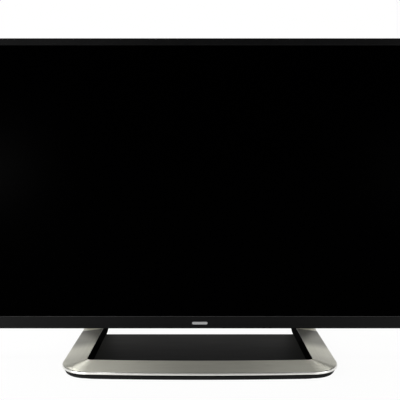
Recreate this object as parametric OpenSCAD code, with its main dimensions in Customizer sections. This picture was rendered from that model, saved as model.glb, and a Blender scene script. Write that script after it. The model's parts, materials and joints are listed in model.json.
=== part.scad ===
// Flat screen television on a ribbon stand, in millimetres.
// The screen faces -Y and +Z is up.
// The origin is on the table, under the middle of the overall width and depth.

/* [Screen] */
// Width of the visible screen
screen_w = 934; // [870:1:1010]
// Height of the visible screen
screen_h = 527; // [495:1:570]
// Thickness of the glass cell
cell_t = 1.8; // [1.4:0.1:2.2]
// How far the cell runs on behind the border
panel_margin = 5; // [4:0.5:7]
// Thickness of the film stack
film_t = 1; // [0.7:0.1:1.4]
// Thickness of the light guide
guide_t = 3; // [2.6:0.1:3.6]
// Thickness of the steel tray behind the light guide
chassis_t = 1; // [0.8:0.1:1.3]

/* [Cabinet] */
// Border at each side of the screen
bezel_side = 13; // [11:0.5:24]
// Border above the screen
bezel_top = 13.5; // [11:0.5:24]
// Border below the screen
bezel_bottom = 23.5; // [21:0.5:40]
// Depth of the front bezel
bezel_depth = 14; // [12:0.5:17]
// Thickness of the bezel's front lip
lip_t = 2.2; // [1.8:0.1:2.8]
// Wall of the bezel and the rear cover
wall = 2.2; // [1.8:0.1:2.6]
// Radius of the cabinet's corners
cabinet_r = 5; // [4.6:0.1:8]
// Bevel round the bezel's front
front_bevel = 0.9; // [0.6:0.1:1.8]
// Bevel round the rear cover's edge
cover_bevel = 4; // [3:0.1:4.4]
// Depth of the cabinet at its edge
edge_depth = 28; // [27:0.5:32]
// Depth of the cabinet at its raised back
back_depth = 48; // [46:0.5:60]
// Width of the raised back
raised_w = 608; // [580:1:640]
// Height of the raised back
raised_h = 400; // [395:1:425]
// Lower edge of the raised back above the cabinet's lower edge
raised_z0 = 20; // [12:1:24]
// Run of the raised back's sloping flanks
flank = 28; // [20:1:34]
// Slots in each flank
vent_count = 44; // [24:1:52]
// Width of one slot
vent_w = 4; // [3:0.5:6]
// Width of the pockets beside the raised back
pocket_w = 56; // [40:1:64]
// Depth of the pockets' floor behind the screen face
pocket_floor = 20; // [18:0.5:22]

/* [Wall mount] */
// Spacing of the four threaded posts, both ways
vesa_pitch = 200; // [190:1:206]
// Radius of the thread in each post
vesa_r = 3; // [2:0.5:4]
// Depth of the thread
vesa_depth = 20; // [14:1:28]
// Height of the pattern's middle above the cabinet's lower edge
vesa_z = 250; // [246:1:256]

/* [Boards] */
// Height of the circuit boards behind the steel tray
standoff_h = 13.4; // [11:0.1:15]
// Thickness of a circuit board
board_t = 1.6; // [1.2:0.1:2]
// Width of the main and power boards
board_w = 182; // [170:1:188]
// Height of the main and power boards
board_h = 215; // [212:1:235]
// Lower edge of both boards above the cabinet's lower edge
board_z0 = 160; // [155:1:165]

/* [Keys] */
// Width of a key
key_w = 11; // [9:0.5:13]
// Height of a key
key_h = 7; // [6:0.5:9]
// Distance from key to key
key_pitch = 15; // [13.5:0.5:20]
// How far a key stands out of the cover
key_proud = 1.6; // [1.2:0.1:2.4]
// Travel of a key
key_travel = 0.7; // [0.4:0.1:0.9]
// Clearance round a key
key_fit = 0.4; // [0.3:0.05:0.6]
// Height of the lowest key above the cabinet's lower edge
keys_z0 = 90; // [76:1:120]

/* [Stand] */
// Height of the cabinet's lower edge above the table
lift = 62; // [54:1:80]
// Width of the base
base_w = 513; // [490:1:535]
// How far the base reaches in front of the screen
front_reach = 103; // [90:1:120]
// Width of the metal trim
trim_w = 45; // [38:0.5:45.5]
// Thickness of the metal trim
trim_t = 2; // [1.5:0.1:2.5]
// Height of the trim along its inner edge
trim_in_z = 20; // [18.5:0.1:24]
// Height of the trim along its outer edge
trim_out_z = 13.6; // [12.6:0.1:15]
// Height of the trim's lower rim
trim_lip_z = 8.3; // [7.6:0.1:9.4]
// Radius of the base's front corners
corner_r = 54.5; // [54:0.5:60]
// Radius of the base's bowed front
bow_r = 4000; // [2500:50:6000]
// Height of the frame's underside
frame_z0 = 7; // [6:0.1:7.4]
// Thickness of the dark plate
plate_t = 2; // [1.5:0.1:2.6]
// How far behind the screen face the dark plate ends
plate_reach = 129; // [120:1:134]
// How far behind the screen face the legs start to curl
curl_start = 148; // [142:1:156]
// Height of the curl's middle
curl_z = 50; // [46:0.5:56]
// Angle that the legs curl through
curl_angle = 147; // [144:1:150]
// Height of the stand bracket and of the leg flanges
bracket_h = 60; // [54:1:66]
// Lower edge of the bracket above the cabinet's lower edge
bracket_z0 = 62; // [58:1:66]
// Thickness of a leg's flange
flange_t = 5; // [4:0.5:7]
// How far the foot plate sits in from the base's sides
foot_side = 5; // [4:0.5:9]
// How far the foot plate sits back from the base's front
foot_front = 2; // [1:0.5:6]
// Radius of a rubber pad
pad_r = 9; // [6:0.5:10]

/* [Hidden] */
$fn = 64;
// Fit between loose pieces, and the glue line under the trim
fit = 0.3;
glue = 0.1;
// Swept pieces lap by this much, and step in by the seam so that their faces don't coincide
lap = 0.5;
seam = 0.03;

// Cabinet sizes that follow from those above
set_w = screen_w + 2 * bezel_side;
set_h = screen_h + bezel_bottom + bezel_top;
panel_w = screen_w + 2 * panel_margin;
panel_h = screen_h + 2 * panel_margin;
panel_z0 = bezel_bottom - panel_margin;
window_bevel = 1;
ledge_t = 1.2;
reflector_t = 0.4;
frame_t = 2.5;
cell_back = lip_t + cell_t;
ledge_back = cell_back + ledge_t;
film_back = ledge_back + film_t;
guide_back = film_back + guide_t;
reflector_back = guide_back + reflector_t;
chassis_back = reflector_back + chassis_t;
edge_in = edge_depth - wall;
back_in = back_depth - wall;
rise = back_depth - edge_depth;
raised_z1 = raised_z0 + raised_h;
flank_in = wall * sqrt(flank * flank + rise * rise) / rise;
jack_x = raised_w / 2;
joint_gap = 0.6;
joint_gap_d = 1;
lens_fit = 0.2;

// Backlight
led_bar_t = 1;
led_t = 1.2;
led_count = 48;
sheet_w = panel_w - 2 * chassis_t - 2 * fit;
sheet_z0 = panel_z0 + chassis_t + led_bar_t + led_t + fit;
sheet_h = panel_z0 + panel_h - chassis_t - fit - sheet_z0;

// Boards
board_y = chassis_back + standoff_h;
board_top = board_y + board_t;
board_x1 = jack_x - wall - 1.8;
board_x0 = board_x1 - board_w;
tcon_w = 150;
tcon_h = 62;
tcon_z0 = 136;
post_in = 6;
main_posts = [
    for (x = [board_x0 + post_in, board_x1 - 26], z = [board_z0 + post_in, board_z0 + board_h - post_in])
        [x, z]
];
power_posts = [for (p = main_posts) [-p[0], p[1]]];
tcon_posts = [
    for (x = around(0, tcon_w / 2 - post_in), z = [tcon_z0 + post_in, tcon_z0 + tcon_h - post_in])
        [x, z]
];
board_posts = concat(main_posts, power_posts, tcon_posts);
wifi_x = set_w / 2 - 140;
wifi_z = set_h - 128;
wifi_posts = [for (x = around(wifi_x, 15)) [x, wifi_z]];
wifi_post_h = 3;
wifi_t = 1.2;
source_x = panel_w * 0.164;
source_w = panel_w * 0.286;
source_z = [panel_z0 + 4, panel_z0 + 18];
gate_x = 55;
gate_w = 36;
flat_cable_w = 28;
screw_r = 1.5;
screw_hole_r = screw_r + 0.1;
chip_x = board_x0 + 62;
chip_z = board_z0 + 110;
chip_t = 2.4;

// Sockets, measured up from the main board's lower edge
antenna_z = board_z0 + 14;
av_z = [for (i = [0:2]) board_z0 + 36 + 16 * i];
lan_z = board_z0 + 92;
hdmi_z = [for (i = [0:2]) board_z0 + 118 + 22 * i];
usb_z = [for (i = [0:1]) board_z0 + 184 + 18 * i];
inlet_z = board_z0 + 55;
mains_pocket_z = around(inlet_z, 32);
jack_pocket_z = [board_z0, board_z0 + board_h];

// Half the height of each socket, and how far it stands off its board
hdmi_half = 7.6;
hdmi_t = 6.4;
usb_half = 7.2;
usb_t = 7;
lan_half = 8;
lan_t = 13.5;
inlet_half = 13;
inlet_t = 16;
av_r = 4.2;
av_bore = 1.6;
antenna_r = 4.8;
antenna_bore = 3.2;
barrel_y = board_top + 6.5;
barrel_out = 8;

// Wall mount posts
vesa_at = [for (x = [-1, 1], z = [-1, 1]) [x * vesa_pitch / 2, vesa_z + z * vesa_pitch / 2]];
vesa_post_r = 8;

// Rear screws
cover_screw_r = 1.5;
cover_screw_y = chassis_back + 2.4;
cover_screw_head = 2.2;
screw_in = 30;
side_x = set_w / 2 - screw_in;
cover_screws_at = concat(
    [for (k = [-5, -3, -1, 1, 3, 5]) [k * side_x * 0.196, set_h - screw_in]],
    [for (x = around(0, side_x), z = [set_h * 0.075, set_h * 0.585]) [x, z]]
);

// Keys
keys_x = set_w / 2 - 40;
key_count = 8;
key_flange = 1;
key_flange_w = 1.8;
key_corner_r = 1.4;
switch_h = 3.4;
key_board_y = chassis_back + 2.9;
key_board_t = 1.6;
key_board_w = 30;
key_board_z0 = keys_z0 - 14;
key_board_h = key_pitch * (key_count - 1) + 28;
key_board_back = key_board_y + key_board_t;
key_posts = [for (x = around(keys_x, 11), z = [key_board_z0 + 4, key_board_z0 + key_board_h - 4]) [x, z]];

// Speakers
speaker_w = 130;
speaker_x = set_w / 2 - 115;
speaker_z1 = 32;
speaker_y0 = chassis_back + 0.4;
speaker_y1 = edge_depth - cover_bevel - 0.4;
speaker_mid = (speaker_y0 + speaker_y1) / 2;
driver_w = 84;
driver_flange = 2;
driver_d = speaker_y1 - speaker_y0 - 1.6;
slot_count = 12;
slot_w = 3;
slot_pitch = 6;

// Status light
lens_w = 30;
lens_h = 5;
lens_z = 10.6;
sensor_y = lip_t + 3.8;

// Stand
rim_s = trim_t + glue;
core_s1 = trim_w + 8;
core_in_z = trim_in_z - trim_t - glue;
core_out_z = trim_out_z - 0.85 * trim_t - glue;
plate_z1 = frame_z0 + plate_t;
core_foot_z = plate_z1;
stand_d = front_reach + curl_start + curl_z - frame_z0;
face_y = front_reach - stand_d / 2;
curl_y = front_reach + curl_start;
flange_y = front_reach + back_depth;
plate_rear = front_reach + plate_reach;
joint_y = plate_rear - 56;
corner_x = base_w / 2 - corner_r;
bow_half = asin(corner_x / (bow_r - corner_r));
corner_y = corner_middle(corner_x, corner_r, 0);
leg_x0 = base_w / 2 - core_s1;
leg_x1 = base_w / 2 - rim_s;
leg_x = (leg_x0 + leg_x1) / 2;
riser_l = 190;
foot_z0 = 1;
foot_r = 66;
foot_half = base_w / 2 - foot_side;
pad_depth = 1.5;
pad_x = foot_half - pad_r - 4;
leg_screw_r = 2.4;
leg_screws_at = [
    for (x = around(leg_x, 17), z = around(bracket_z0 + bracket_h / 2, bracket_h / 2 - 7))
        [x, z]
];
front_row = corner_y * 0.42;
base_screw_x = foot_half - 13;
base_screws_at = concat(
    [for (k = [-3, -1, 1, 3]) [k * corner_x * 0.298, front_row]],
    [for (x = around(0, base_screw_x), y = [corner_y + 55, joint_y + 13, joint_y + 31]) [x, y]]
);
pads_at = concat(
    [for (x = around(0, pad_x), y = [corner_y, joint_y - 12]) [x, y]],
    [[0, front_row + 14], [0, plate_rear - 18]]
);
foot_hollow_x = foot_half * 0.4;
foot_hollow_w = foot_half * 0.58;
foot_hollow_y = [corner_y + 10, plate_rear - 34];

// Cross-section of the trim and of the frame under it, as distance in from the rim and height
trim_section = [
    [trim_w, trim_in_z],
    [1.5, trim_out_z + 0.2],
    [0.5, trim_out_z - 0.3],
    [0, trim_out_z - 1.2],
    [0, trim_lip_z],
    [trim_t, trim_lip_z],
    [trim_t, trim_out_z - 0.85 * trim_t],
    [trim_w, trim_in_z - trim_t]
];
core_section = [
    [trim_w, core_in_z],
    [rim_s, core_out_z],
    [rim_s, frame_z0],
    [core_s1, frame_z0],
    [core_s1, core_foot_z]
];

// Shared shapes

// A span of equal reach on both sides of its middle
function around(middle, half) = [middle - half, middle + half];

// Where the middle of a rounded corner lies behind the bowed front
function corner_middle(x, r, inset) =
    round(100 * (bow_r - sqrt(pow(bow_r - inset - r, 2) - x * x))) / 100;

// Places a piece drawn from the screen face and the cabinet's lower edge
module in_set() {
    translate([0, face_y, lift]) children();
}

// Places a piece drawn from the front of the base
module in_stand() {
    translate([0, -stand_d / 2, 0]) children();
}

// A block given by its two opposite corners
module block(x, y, z) {
    translate([x[0], y[0], z[0]]) cube([x[1] - x[0], y[1] - y[0], z[1] - z[0]]);
}

// A rod along Y
module rod(x, z, y, r) {
    translate([x, y[1], z]) rotate([90, 0, 0]) cylinder(h = y[1] - y[0], r = r);
}

// A rod along X
module rod_x(x, y, z, r) {
    translate([x[0], y, z]) rotate([0, 90, 0]) cylinder(h = x[1] - x[0], r = r);
}

// An upright slab with rounded corners, standing on z = 0
module slab(w, h, d, r) {
    block([-w / 2, w / 2], [0, d], [r, h - r]);
    block([-w / 2 + r, w / 2 - r], [0, d], [0, h]);
    for (x = [-w / 2 + r, w / 2 - r], z = [r, h - r])
        rod(x, z, [0, d], r);
}

// A layer that narrows by c all round towards the front
module bevel_layer(w, h, c, r) {
    translate([0, 0, r])
        linear_extrude(h - 2 * r)
            polygon([[-w / 2 + c, 0], [w / 2 - c, 0], [w / 2, c], [-w / 2, c]]);
    translate([-w / 2 + r, 0, 0])
        rotate([90, 0, 90])
            linear_extrude(w - 2 * r)
                polygon([[0, c], [c, 0], [c, h], [0, h - c]]);
    for (x = [-w / 2 + r, w / 2 - r], z = [r, h - r])
        translate([x, 0, z]) rotate([-90, 0, 0]) cylinder(h = c, r1 = r - c, r2 = r);
}

// A square opening that widens towards the front
module flared_window(w, z0, h, c) {
    intersection() {
        translate([0, 0, z0 - 2 * c])
            linear_extrude(h + 4 * c)
                polygon([[-w / 2 - 2 * c, -c], [w / 2 + 2 * c, -c], [w / 2, c], [-w / 2, c]]);
        translate([-w / 2 - 2 * c, 0, 0])
            rotate([90, 0, 90])
                linear_extrude(w + 4 * c)
                    polygon([[-c, z0 - 2 * c], [c, z0], [c, z0 + h], [-c, z0 + h + 2 * c]]);
    }
}

// A flat sheet behind the screen
module sheet(y, t) {
    translate([-sheet_w / 2, y, sheet_z0]) cube([sheet_w, t, sheet_h]);
}

// A section swept straight along Y on the +X side
module along_y(section, y) {
    translate([0, y[1], 0])
        rotate([90, 0, 0])
            linear_extrude(y[1] - y[0])
                polygon([for (p = section) [base_w / 2 - p[0], p[1]]]);
}

// A section drawn in by d all round, for pieces that lap into their neighbour
function drawn_in(pts, d) = [
    for (i = [0:len(pts) - 1])
        let (
            n = len(pts),
            u = pts[i] - pts[(i + n - 1) % n],
            v = pts[(i + 1) % n] - pts[i],
            a = [-u[1], u[0]] / norm(u),
            b = [-v[1], v[0]] / norm(v)
        )
        pts[i] + d * (a + b) / (1 + a * b)
];

// A section swept along half of the bowed front, and a little way into the corner
module along_bow(section) {
    translate([0, bow_r, 0])
        rotate([0, 0, -90])
            rotate_extrude(angle = bow_half + lap * 180 / PI / bow_r, $fn = 1440)
                polygon([for (p = drawn_in(section, seam)) [bow_r - p[0], p[1]]]);
}

// A section swept round the front corner on the +X side
module along_corner(section) {
    translate([corner_x, corner_y, 0])
        mirror([0, 1, 0])
            rotate_extrude(angle = 90 - bow_half, $fn = 128)
                polygon([for (p = section) [corner_r - p[0], p[1]]]);
}

// A section swept round the leg's curl
module along_curl(section) {
    translate([0, curl_y, curl_z])
        rotate([0, 90, 0])
            rotate_extrude(angle = curl_angle, $fn = 128)
                polygon([for (p = section) [curl_z - p[1], base_w / 2 - p[0]]]);
}

// A section swept up and forward from the curl to the cabinet's back
module along_riser(section, stop_y) {
    difference() {
        translate([0, curl_y, curl_z])
            rotate([curl_angle, 0, 0])
                translate([0, 0, -curl_z])
                    along_y(drawn_in(section, seam), [-lap, riser_l]);
        block([0, base_w], [-400, stop_y], [0, 600]);
    }
}

// A level slab with the base's bowed front and two rounded front corners
module base_slab(half, inset, r, rear, z) {
    x = half - r;
    y = corner_middle(x, r, inset);
    reach = x + r * x / (bow_r - inset - r);
    intersection() {
        translate([0, bow_r, z[0]]) cylinder(h = z[1] - z[0], r = bow_r - inset, $fn = 1440);
        block(around(0, reach), [0, y + 1], [z[0] - 1, z[1] + 1]);
    }
    block(around(0, half), [y, rear], z);
    for (side = around(0, x))
        translate([side, y, z[0]]) cylinder(h = z[1] - z[0], r = r);
}

// The same piece on both sides
module both_sides() {
    children();
    mirror([1, 0, 0]) children();
}

// Cabinet

module front_bezel() {
    post_x = lens_w / 2 + 14;
    color("#161617") in_set() {
        difference() {
            union() {
                bevel_layer(set_w, set_h, front_bevel, cabinet_r);
                translate([0, front_bevel, 0]) slab(set_w, set_h, bezel_depth - front_bevel, cabinet_r);
            }
            translate([0, lip_t, wall])
                slab(set_w - 2 * wall, set_h - 2 * wall, bezel_depth, cabinet_r - wall);
            block([-screen_w / 2, screen_w / 2], [-1, lip_t + 1], [bezel_bottom, bezel_bottom + screen_h]);
            flared_window(screen_w, bezel_bottom, screen_h, window_bevel);
            lens_shape(lens_w + 2 * lens_fit, lens_h + 2 * lens_fit, [-1, lip_t + 1]);
        }
        for (x = [-post_x, post_x])
            rod(x, lens_z - 1, [lip_t - 0.5, sensor_y], 2.2);
    }
}

module lens_shape(w, h, y) {
    block([-w / 2 + h / 2, w / 2 - h / 2], y, [lens_z - h / 2, lens_z + h / 2]);
    for (x = [-w / 2 + h / 2, w / 2 - h / 2])
        rod(x, lens_z, y, h / 2);
}

// The raised back's shape from y[0] to y[1], with its flanks drawn in by slope at each end
module raised_block(y, slope, half) {
    z0 = [for (s = slope) raised_z0 + s];
    z1 = [for (s = slope) raised_z1 - s];
    translate([-half, 0, 0])
        rotate([90, 0, 90])
            linear_extrude(2 * half)
                polygon([[y[0], z0[0]], [y[1], z0[1]], [y[1], z1[1]], [y[0], z1[0]]]);
}

module cover_outside() {
    wall_y = bezel_depth + joint_gap_d;
    translate([0, bezel_depth, joint_gap])
        slab(set_w - 2 * joint_gap, set_h - 2 * joint_gap, joint_gap_d + 1, cabinet_r - joint_gap);
    translate([0, wall_y, 0])
        slab(set_w, set_h, edge_depth - cover_bevel - wall_y, cabinet_r);
    translate([0, edge_depth, 0])
        mirror([0, 1, 0])
            bevel_layer(set_w, set_h, cover_bevel, cabinet_r);
    raised_block([edge_in, back_depth], [-wall * flank / rise, flank], jack_x);
}

module cover_inside() {
    step = wall + cover_bevel;
    wall_end = edge_depth - cover_bevel;
    slope = [flank_in - (wall + 1) * flank / rise, flank_in + (rise - wall) * flank / rise];
    translate([0, bezel_depth - 1, wall])
        slab(set_w - 2 * wall, set_h - 2 * wall, wall_end - bezel_depth + 1, cabinet_r - wall);
    block(around(0, set_w / 2 - step), [wall_end - 1, edge_in], [step, set_h - step]);
    raised_block([edge_in - 1, back_in], slope, jack_x - wall);
}

// A pocket in the cover's edge, with its own walls and floor
module pocket_walls(z) {
    x = [jack_x - wall, jack_x + pocket_w + wall];
    block(x, [pocket_floor - wall, edge_in + 0.5], [z[0] - wall, z[1] + wall]);
}

module pocket_space(z) {
    block([jack_x, jack_x + pocket_w], [pocket_floor, back_depth + 1], z);
}

module flank_vents() {
    span = raised_w - 80;
    y = around(edge_depth + rise / 2, rise / 4);
    for (i = [0:vent_count - 1])
        let (x = -span / 2 + i * span / (vent_count - 1))
            block(around(x, vent_w / 2), y, [raised_z0 - 1, raised_z1 + 1]);
}

module speaker_slots() {
    y = [bezel_depth + joint_gap_d + 1, edge_depth - cover_bevel - 1];
    for (middle = around(0, speaker_x), i = [0:slot_count - 1])
        let (x = middle + (i - (slot_count - 1) / 2) * slot_pitch)
            block(around(x, slot_w / 2), y, [-1, wall + 1]);
}

module rear_cover() {
    color("#1b1b1c") in_set() {
        difference() {
            union() {
                difference() {
                    cover_outside();
                    cover_inside();
                }
                pocket_walls(jack_pocket_z);
                mirror([1, 0, 0]) pocket_walls(mains_pocket_z);
                for (p = cover_screws_at)
                    rod(p[0], p[1], [chassis_back, edge_in + 0.5], 5.6);
                for (p = key_posts)
                    rod(p[0], p[1], [key_board_back, edge_in + 0.5], 3);
            }
            pocket_space(jack_pocket_z);
            mirror([1, 0, 0]) pocket_space(mains_pocket_z);
            flank_vents();
            speaker_slots();
            for (p = cover_screws_at) {
                rod(p[0], p[1], [cover_screw_y, edge_depth + 1], 4);
                rod(p[0], p[1], [chassis_back - 1, edge_depth], cover_screw_r + fit);
            }
            for (p = key_posts)
                rod(p[0], p[1], [key_board_y, key_board_back + 6], screw_hole_r);
            for (i = [0:key_count - 1])
                key_hole(i);
            for (p = vesa_at)
                rod(p[0], p[1], [back_in - 1, back_depth + 1], vesa_post_r + fit);
            for (p = leg_screws_at, side = [-1, 1])
                rod(side * p[0], p[1], [back_in - 1, back_depth + 1], leg_screw_r + 0.4);
            socket_holes();
        }
    }
}

module key_hole(i) {
    w = key_w + 2 * key_fit;
    h = key_h + 2 * key_fit;
    translate([keys_x, edge_in - 1, keys_z0 + i * key_pitch - h / 2]) slab(w, h, wall + 2, 1.5);
}

// Holes for the sockets in the raised back's two side walls
module socket_holes() {
    through = [jack_x - wall - 1, jack_x + 1];
    for (z = hdmi_z)
        block(through, [board_top - fit, board_top + hdmi_t + fit], around(z, hdmi_half + fit));
    for (z = usb_z)
        block(through, [board_top - fit, board_top + usb_t + fit], around(z, usb_half + fit));
    block(through, [board_top - fit, board_top + lan_t + fit], around(lan_z, lan_half + fit));
    for (z = concat(av_z, [antenna_z]))
        rod_x(through, barrel_y, z, antenna_r + fit);
    mirror([1, 0, 0])
        block(through, [board_top - fit, board_top + inlet_t + fit], around(inlet_z, inlet_half + fit));
}

module cover_screws() {
    color("#2a2a2c") in_set()
        for (p = cover_screws_at)
            difference() {
                union() {
                    rod(p[0], p[1], [cover_screw_y, cover_screw_y + cover_screw_head], 3.5);
                    rod(p[0], p[1], [chassis_back - chassis_t + 0.1, cover_screw_y + 0.1], cover_screw_r);
                }
                cross_slot(p[0], p[1], cover_screw_y + cover_screw_head);
            }
}

// The cross in a screw head
module cross_slot(x, z, y) {
    block(around(x, 2), around(y, 1), around(z, 0.4));
    block(around(x, 0.4), around(y, 1), around(z, 2));
}

// Screen and backlight

module lcd_cell() {
    color("#08080a") in_set()
        block([-panel_w / 2, panel_w / 2], [lip_t, cell_back], [panel_z0, panel_z0 + panel_h]);
}

module mid_frame() {
    out = fit + frame_t;
    color("#232325") in_set()
        difference() {
            block([-panel_w / 2 - out, panel_w / 2 + out], [lip_t, chassis_back],
                [panel_z0 - out, panel_z0 + panel_h + out]);
            block([-panel_w / 2 - fit, panel_w / 2 + fit], [lip_t - 1, cell_back],
                [panel_z0 - fit, panel_z0 + panel_h + fit]);
            block([-panel_w / 2 - fit, panel_w / 2 + fit], [ledge_back, chassis_back + 1],
                [panel_z0 - fit, panel_z0 + panel_h + fit]);
            block([-screen_w / 2 - 1, screen_w / 2 + 1], [cell_back - 1, ledge_back + 1],
                [bezel_bottom - 1, bezel_bottom + screen_h + 1]);
        }
}

module optical_films() {
    color("#f2f2ee") in_set() sheet(ledge_back, film_t);
}

module light_guide() {
    color("#e6f0f0") in_set() sheet(film_back, guide_t);
}

module reflector_sheet() {
    color("#fafafa") in_set() sheet(guide_back, reflector_t);
}

module led_bar() {
    z = panel_z0 + chassis_t;
    led_z = z + led_bar_t;
    color("#e8d9a0") in_set() {
        block(around(0, sheet_w / 2), [ledge_back + 0.2, reflector_back], [z, led_z]);
        for (i = [0:led_count - 1])
            let (x = -sheet_w / 2 + (i + 0.5) * sheet_w / led_count)
                block(around(x, 2.8), [film_back + 0.2, guide_back - 0.2], [led_z - 0.1, led_z + led_t]);
    }
}

module panel_chassis() {
    color("#b4b7b8") in_set()
        difference() {
            union() {
                block(around(0, panel_w / 2), [ledge_back, chassis_back], [panel_z0, panel_z0 + panel_h]);
                for (p = board_posts)
                    rod(p[0], p[1], [chassis_back - 0.5, board_y], 3.2);
                for (p = wifi_posts)
                    rod(p[0], p[1], [chassis_back - 0.5, chassis_back + wifi_post_h], 3);
                for (z = [set_h - 82, set_h - 62])
                    block(around(0, panel_w / 2 - 60), around(chassis_back + 0.5, 1.1), around(z, 4));
            }
            block(around(0, panel_w / 2 - chassis_t), [ledge_back - 1, reflector_back],
                [panel_z0 + chassis_t, panel_z0 + panel_h - chassis_t]);
            for (p = cover_screws_at)
                rod(p[0], p[1], [reflector_back - 1, chassis_back + 1], cover_screw_r + 0.1);
            for (p = board_posts)
                rod(p[0], p[1], [board_y - 6, board_y + 1], screw_hole_r);
            for (p = wifi_posts)
                rod(p[0], p[1], [chassis_back + 0.2, chassis_back + wifi_post_h + 1], screw_hole_r);
        }
}

module vesa_posts() {
    color("#a7a9aa") in_set()
        for (p = vesa_at)
            difference() {
                union() {
                    rod(p[0], p[1], [chassis_back, chassis_back + 2], 13);
                    rod(p[0], p[1], [chassis_back, back_depth], vesa_post_r);
                }
                rod(p[0], p[1], [back_depth - vesa_depth, back_depth + 1], vesa_r);
            }
}

module stand_bracket() {
    half = leg_x1 + 20;
    t = 2.5;
    z1 = bracket_z0 + bracket_h;
    color("#9fa2a3") in_set()
        difference() {
            block(around(0, half), [chassis_back, back_in], [bracket_z0, z1]);
            block(around(0, half + 1), [chassis_back - 1, back_in - t], [bracket_z0 + t, z1 - t]);
            for (x = around(0, gate_x))
                block(around(x, gate_w / 2), around(chassis_back + 1, 2), [bracket_z0 - 1, z1 + 1]);
            for (p = leg_screws_at, side = [-1, 1])
                rod(side * p[0], p[1], [back_in - t - 1, back_in + 1], leg_screw_r + 0.1);
        }
}

// Electronics

// A circuit board with screw holes
module board(x, z, posts) {
    difference() {
        block(x, [board_y, board_top], z);
        for (p = posts)
            rod(p[0], p[1], [board_y - 1, board_top + 1], screw_hole_r);
    }
}

module main_board() {
    color("#1f5a34") in_set() board([board_x0, board_x1], [board_z0, board_z0 + board_h], main_posts);
}

// The processor, its memory, the tuner, a small regulator and a row of capacitors
module main_chips() {
    color("#26282a") in_set() {
        block(around(chip_x, 17), [board_top, board_top + chip_t], around(chip_z, 17));
        for (i = [-1.5:1.5])
            block(around(chip_x - 34, 6), [board_top, board_top + 1.2], around(chip_z + i * 18, 6));
        block(around(chip_x + 63, 23), [board_top, board_top + 9], around(board_z0 + 35, 13));
        block(around(chip_x + 39, 5), [board_top, board_top + 1.4], around(chip_z + 39, 7));
        for (k = [0:3])
            rod(board_x0 + 20 + k * 16, board_z0 + 20, [board_top, board_top + 10], 4);
    }
}

module main_heatsink() {
    half = 20;
    y = board_top + chip_t;
    color("#303236") in_set() {
        block(around(chip_x, half), [y, y + 2], around(chip_z, half));
        for (i = [-4:4])
            block(around(chip_x + i * 4.8, 0.7), [y + 1.9, y + 10], around(chip_z, half));
    }
}

module hdmi_sockets() {
    mouth = [jack_x - 10.5, jack_x + 1];
    color("#8f9294") in_set()
        for (z = hdmi_z) {
            difference() {
                block([jack_x - 13, jack_x], [board_top, board_top + hdmi_t], around(z, hdmi_half));
                block(mouth, [board_top + 2.6, board_top + 5.7], around(z, 7));
                block(mouth, [board_top + 0.9, board_top + 2.7], around(z, 5.4));
            }
            block([jack_x - 11, jack_x - 2], [board_top + 2.9, board_top + 3.9], around(z, 5.6));
        }
}

module usb_sockets() {
    color("#a0a3a5") in_set()
        for (z = usb_z) {
            difference() {
                block([jack_x - 15, jack_x], [board_top, board_top + usb_t], around(z, usb_half));
                block([jack_x - 12, jack_x + 1], [board_top + 0.9, board_top + 6.1], around(z, 6.3));
            }
            block([jack_x - 12.5, jack_x - 3], [board_top + 1.6, board_top + 3.4], around(z, 5.6));
        }
}

module lan_socket() {
    mouth = [jack_x - 12.5, jack_x + 1];
    color("#9a9da0") in_set()
        difference() {
            block([jack_x - 16, jack_x], [board_top, board_top + lan_t], around(lan_z, lan_half));
            block(mouth, [board_top + 1.2, board_top + 9.6], around(lan_z, 5.9));
            block(mouth, [board_top + 9.5, board_top + 11.8], around(lan_z, 3));
        }
}

// A round jack with a block behind it and a barrel out through the cover
module barrel_jack(z, r, bore) {
    difference() {
        union() {
            block([jack_x - 15, jack_x - wall - 0.5], [board_top, board_top + 12.5], around(z, 6));
            rod_x([jack_x - wall - 1, jack_x + barrel_out], barrel_y, z, r);
        }
        rod_x([jack_x - 6, jack_x + barrel_out + 1], barrel_y, z, bore);
    }
}

module av_jacks() {
    color("#c9c2a4") in_set()
        for (z = av_z)
            barrel_jack(z, av_r, av_bore);
}

module antenna_socket() {
    color("#c4c6c6") in_set() barrel_jack(antenna_z, antenna_r, antenna_bore);
}

module power_board() {
    color("#8a6f3c") in_set()
        board([-board_x1, -board_x0], [board_z0, board_z0 + board_h], power_posts);
}

// Two transformers, two cooling plates, three large capacitors, a filter and a row of small capacitors
module power_parts() {
    x = -board_x0;
    z = board_z0;
    color("#3b3a34") in_set() {
        for (k = [46, 108])
            block(around(x - 53, 17), [board_top, board_top + 15], around(z + k, 16));
        block(around(x - 106, 2), [board_top, board_top + 14], around(z + 57, 31));
        block(around(x - 86, 2), [board_top, board_top + 14], around(z + 132, 28));
        for (k = [118, 94])
            rod(x - k, z + 184, [board_top, board_top + 16], 9.5);
        rod(x - 134, z + 110, [board_top, board_top + 13], 10);
        block(around(x - 131, 9), [board_top, board_top + 12], around(z + 56, 10));
        for (k = [0:4])
            rod(x - 22, z + 34 + k * 15, [board_top, board_top + 11], 4.5);
    }
}

// A two-pin inlet whose mouth is two circles and the straight sides between them
module ac_inlet() {
    y = board_top + inlet_t / 2;
    mouth = [-jack_x - 1, -jack_x + 13];
    mouth_r = 4.6;
    mouth_half = 4.4;
    color("#141415") in_set() {
        difference() {
            block([-jack_x, -jack_x + 18], [board_top, board_top + inlet_t], around(inlet_z, inlet_half));
            block(mouth, around(y, mouth_r), around(inlet_z, mouth_half));
            for (z = around(inlet_z, mouth_half))
                rod_x(mouth, y, z, mouth_r);
        }
        for (z = around(inlet_z, 5))
            rod_x([-jack_x + 2, -jack_x + 13.5], y, z, 1.2);
    }
}

module tcon_board() {
    color("#1d4f6a") in_set() {
        board(around(0, tcon_w / 2), [tcon_z0, tcon_z0 + tcon_h], tcon_posts);
        block(around(0, 14), [board_top - 0.1, board_top + 1.6], around(tcon_z0 + 38, 12));
    }
}

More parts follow.
